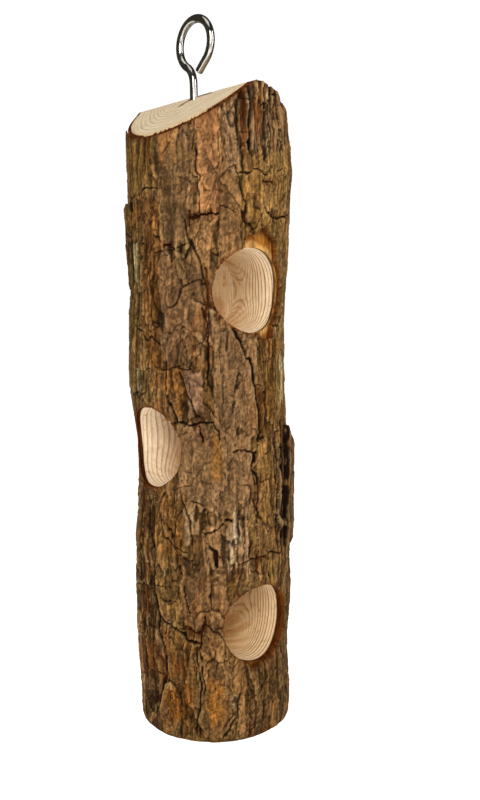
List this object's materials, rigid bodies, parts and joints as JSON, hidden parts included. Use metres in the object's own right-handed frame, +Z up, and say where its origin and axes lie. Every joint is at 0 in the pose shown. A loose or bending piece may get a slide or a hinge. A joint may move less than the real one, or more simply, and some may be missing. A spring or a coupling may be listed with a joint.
{
  "type": "hanging log bird feeder",
  "caption": "Bark-covered hanging log with a ridged, slant-cut top, large round blind pockets in its side and a steel screw eye to hang it by.",
  "frame": {"origin": "middle of the log's flat bottom, on the log's axis", "axes": "+Z up the log to the screw eye; -Y out through the upper and lower pockets; -X out through the middle pocket, all within four degrees"},
  "size_m": [0.0774, 0.0771, 0.3365],
  "materials": {
    "wood": "sawn and drilled pale softwood, dry",
    "inner_bark": "rust-brown fibrous inner bark",
    "outer_bark": "rough grey-brown outer bark",
    "plated_steel": "bright zinc plate"
  },
  "bodies": {
    "log": {"bark_back_left_low": "outer_bark", "bark_back_left_middle": "outer_bark", "bark_back_left_top": "outer_bark", "bark_back_right_low": "outer_bark", "bark_back_right_middle": "outer_bark", "bark_back_right_top": "outer_bark", "bark_front_left_high": "outer_bark", "bark_front_left_low": "outer_bark", "bark_front_left_middle": "outer_bark", "bark_front_left_top": "outer_bark", "bark_front_right_high": "outer_bark", "bark_front_right_low": "outer_bark", "bark_front_right_middle": "outer_bark", "bark_front_right_top": "outer_bark", "bark_left_back_low": "outer_bark", "bark_left_back_middle": "outer_bark", "bark_left_back_top": "outer_bark", "bark_left_front_high": "outer_bark", "bark_left_front_low": "outer_bark", "bark_left_front_middle": "outer_bark", "bark_left_front_top": "outer_bark", "bark_right_back_low": "outer_bark", "bark_right_back_middle": "outer_bark", "bark_right_back_top": "outer_bark", "bark_right_front_low": "outer_bark", "bark_right_front_middle": "outer_bark", "bark_right_front_top": "outer_bark", "flake_left_edge": "outer_bark", "flake_low_left": "outer_bark", "flake_right_slab": "outer_bark", "inner_bark": "inner_bark", "wood_core": "wood"},
    "eye": {"screw_eye": "plated_steel"}
  },
  "joints": [
    {"name": "eye_turn", "type": "hinge", "parent": "log", "child": "eye", "pos_m": [-0.0099, -0.0056, 0.3], "axis": [0, 0, 1], "range_deg": [-90, 90]}
  ]
}
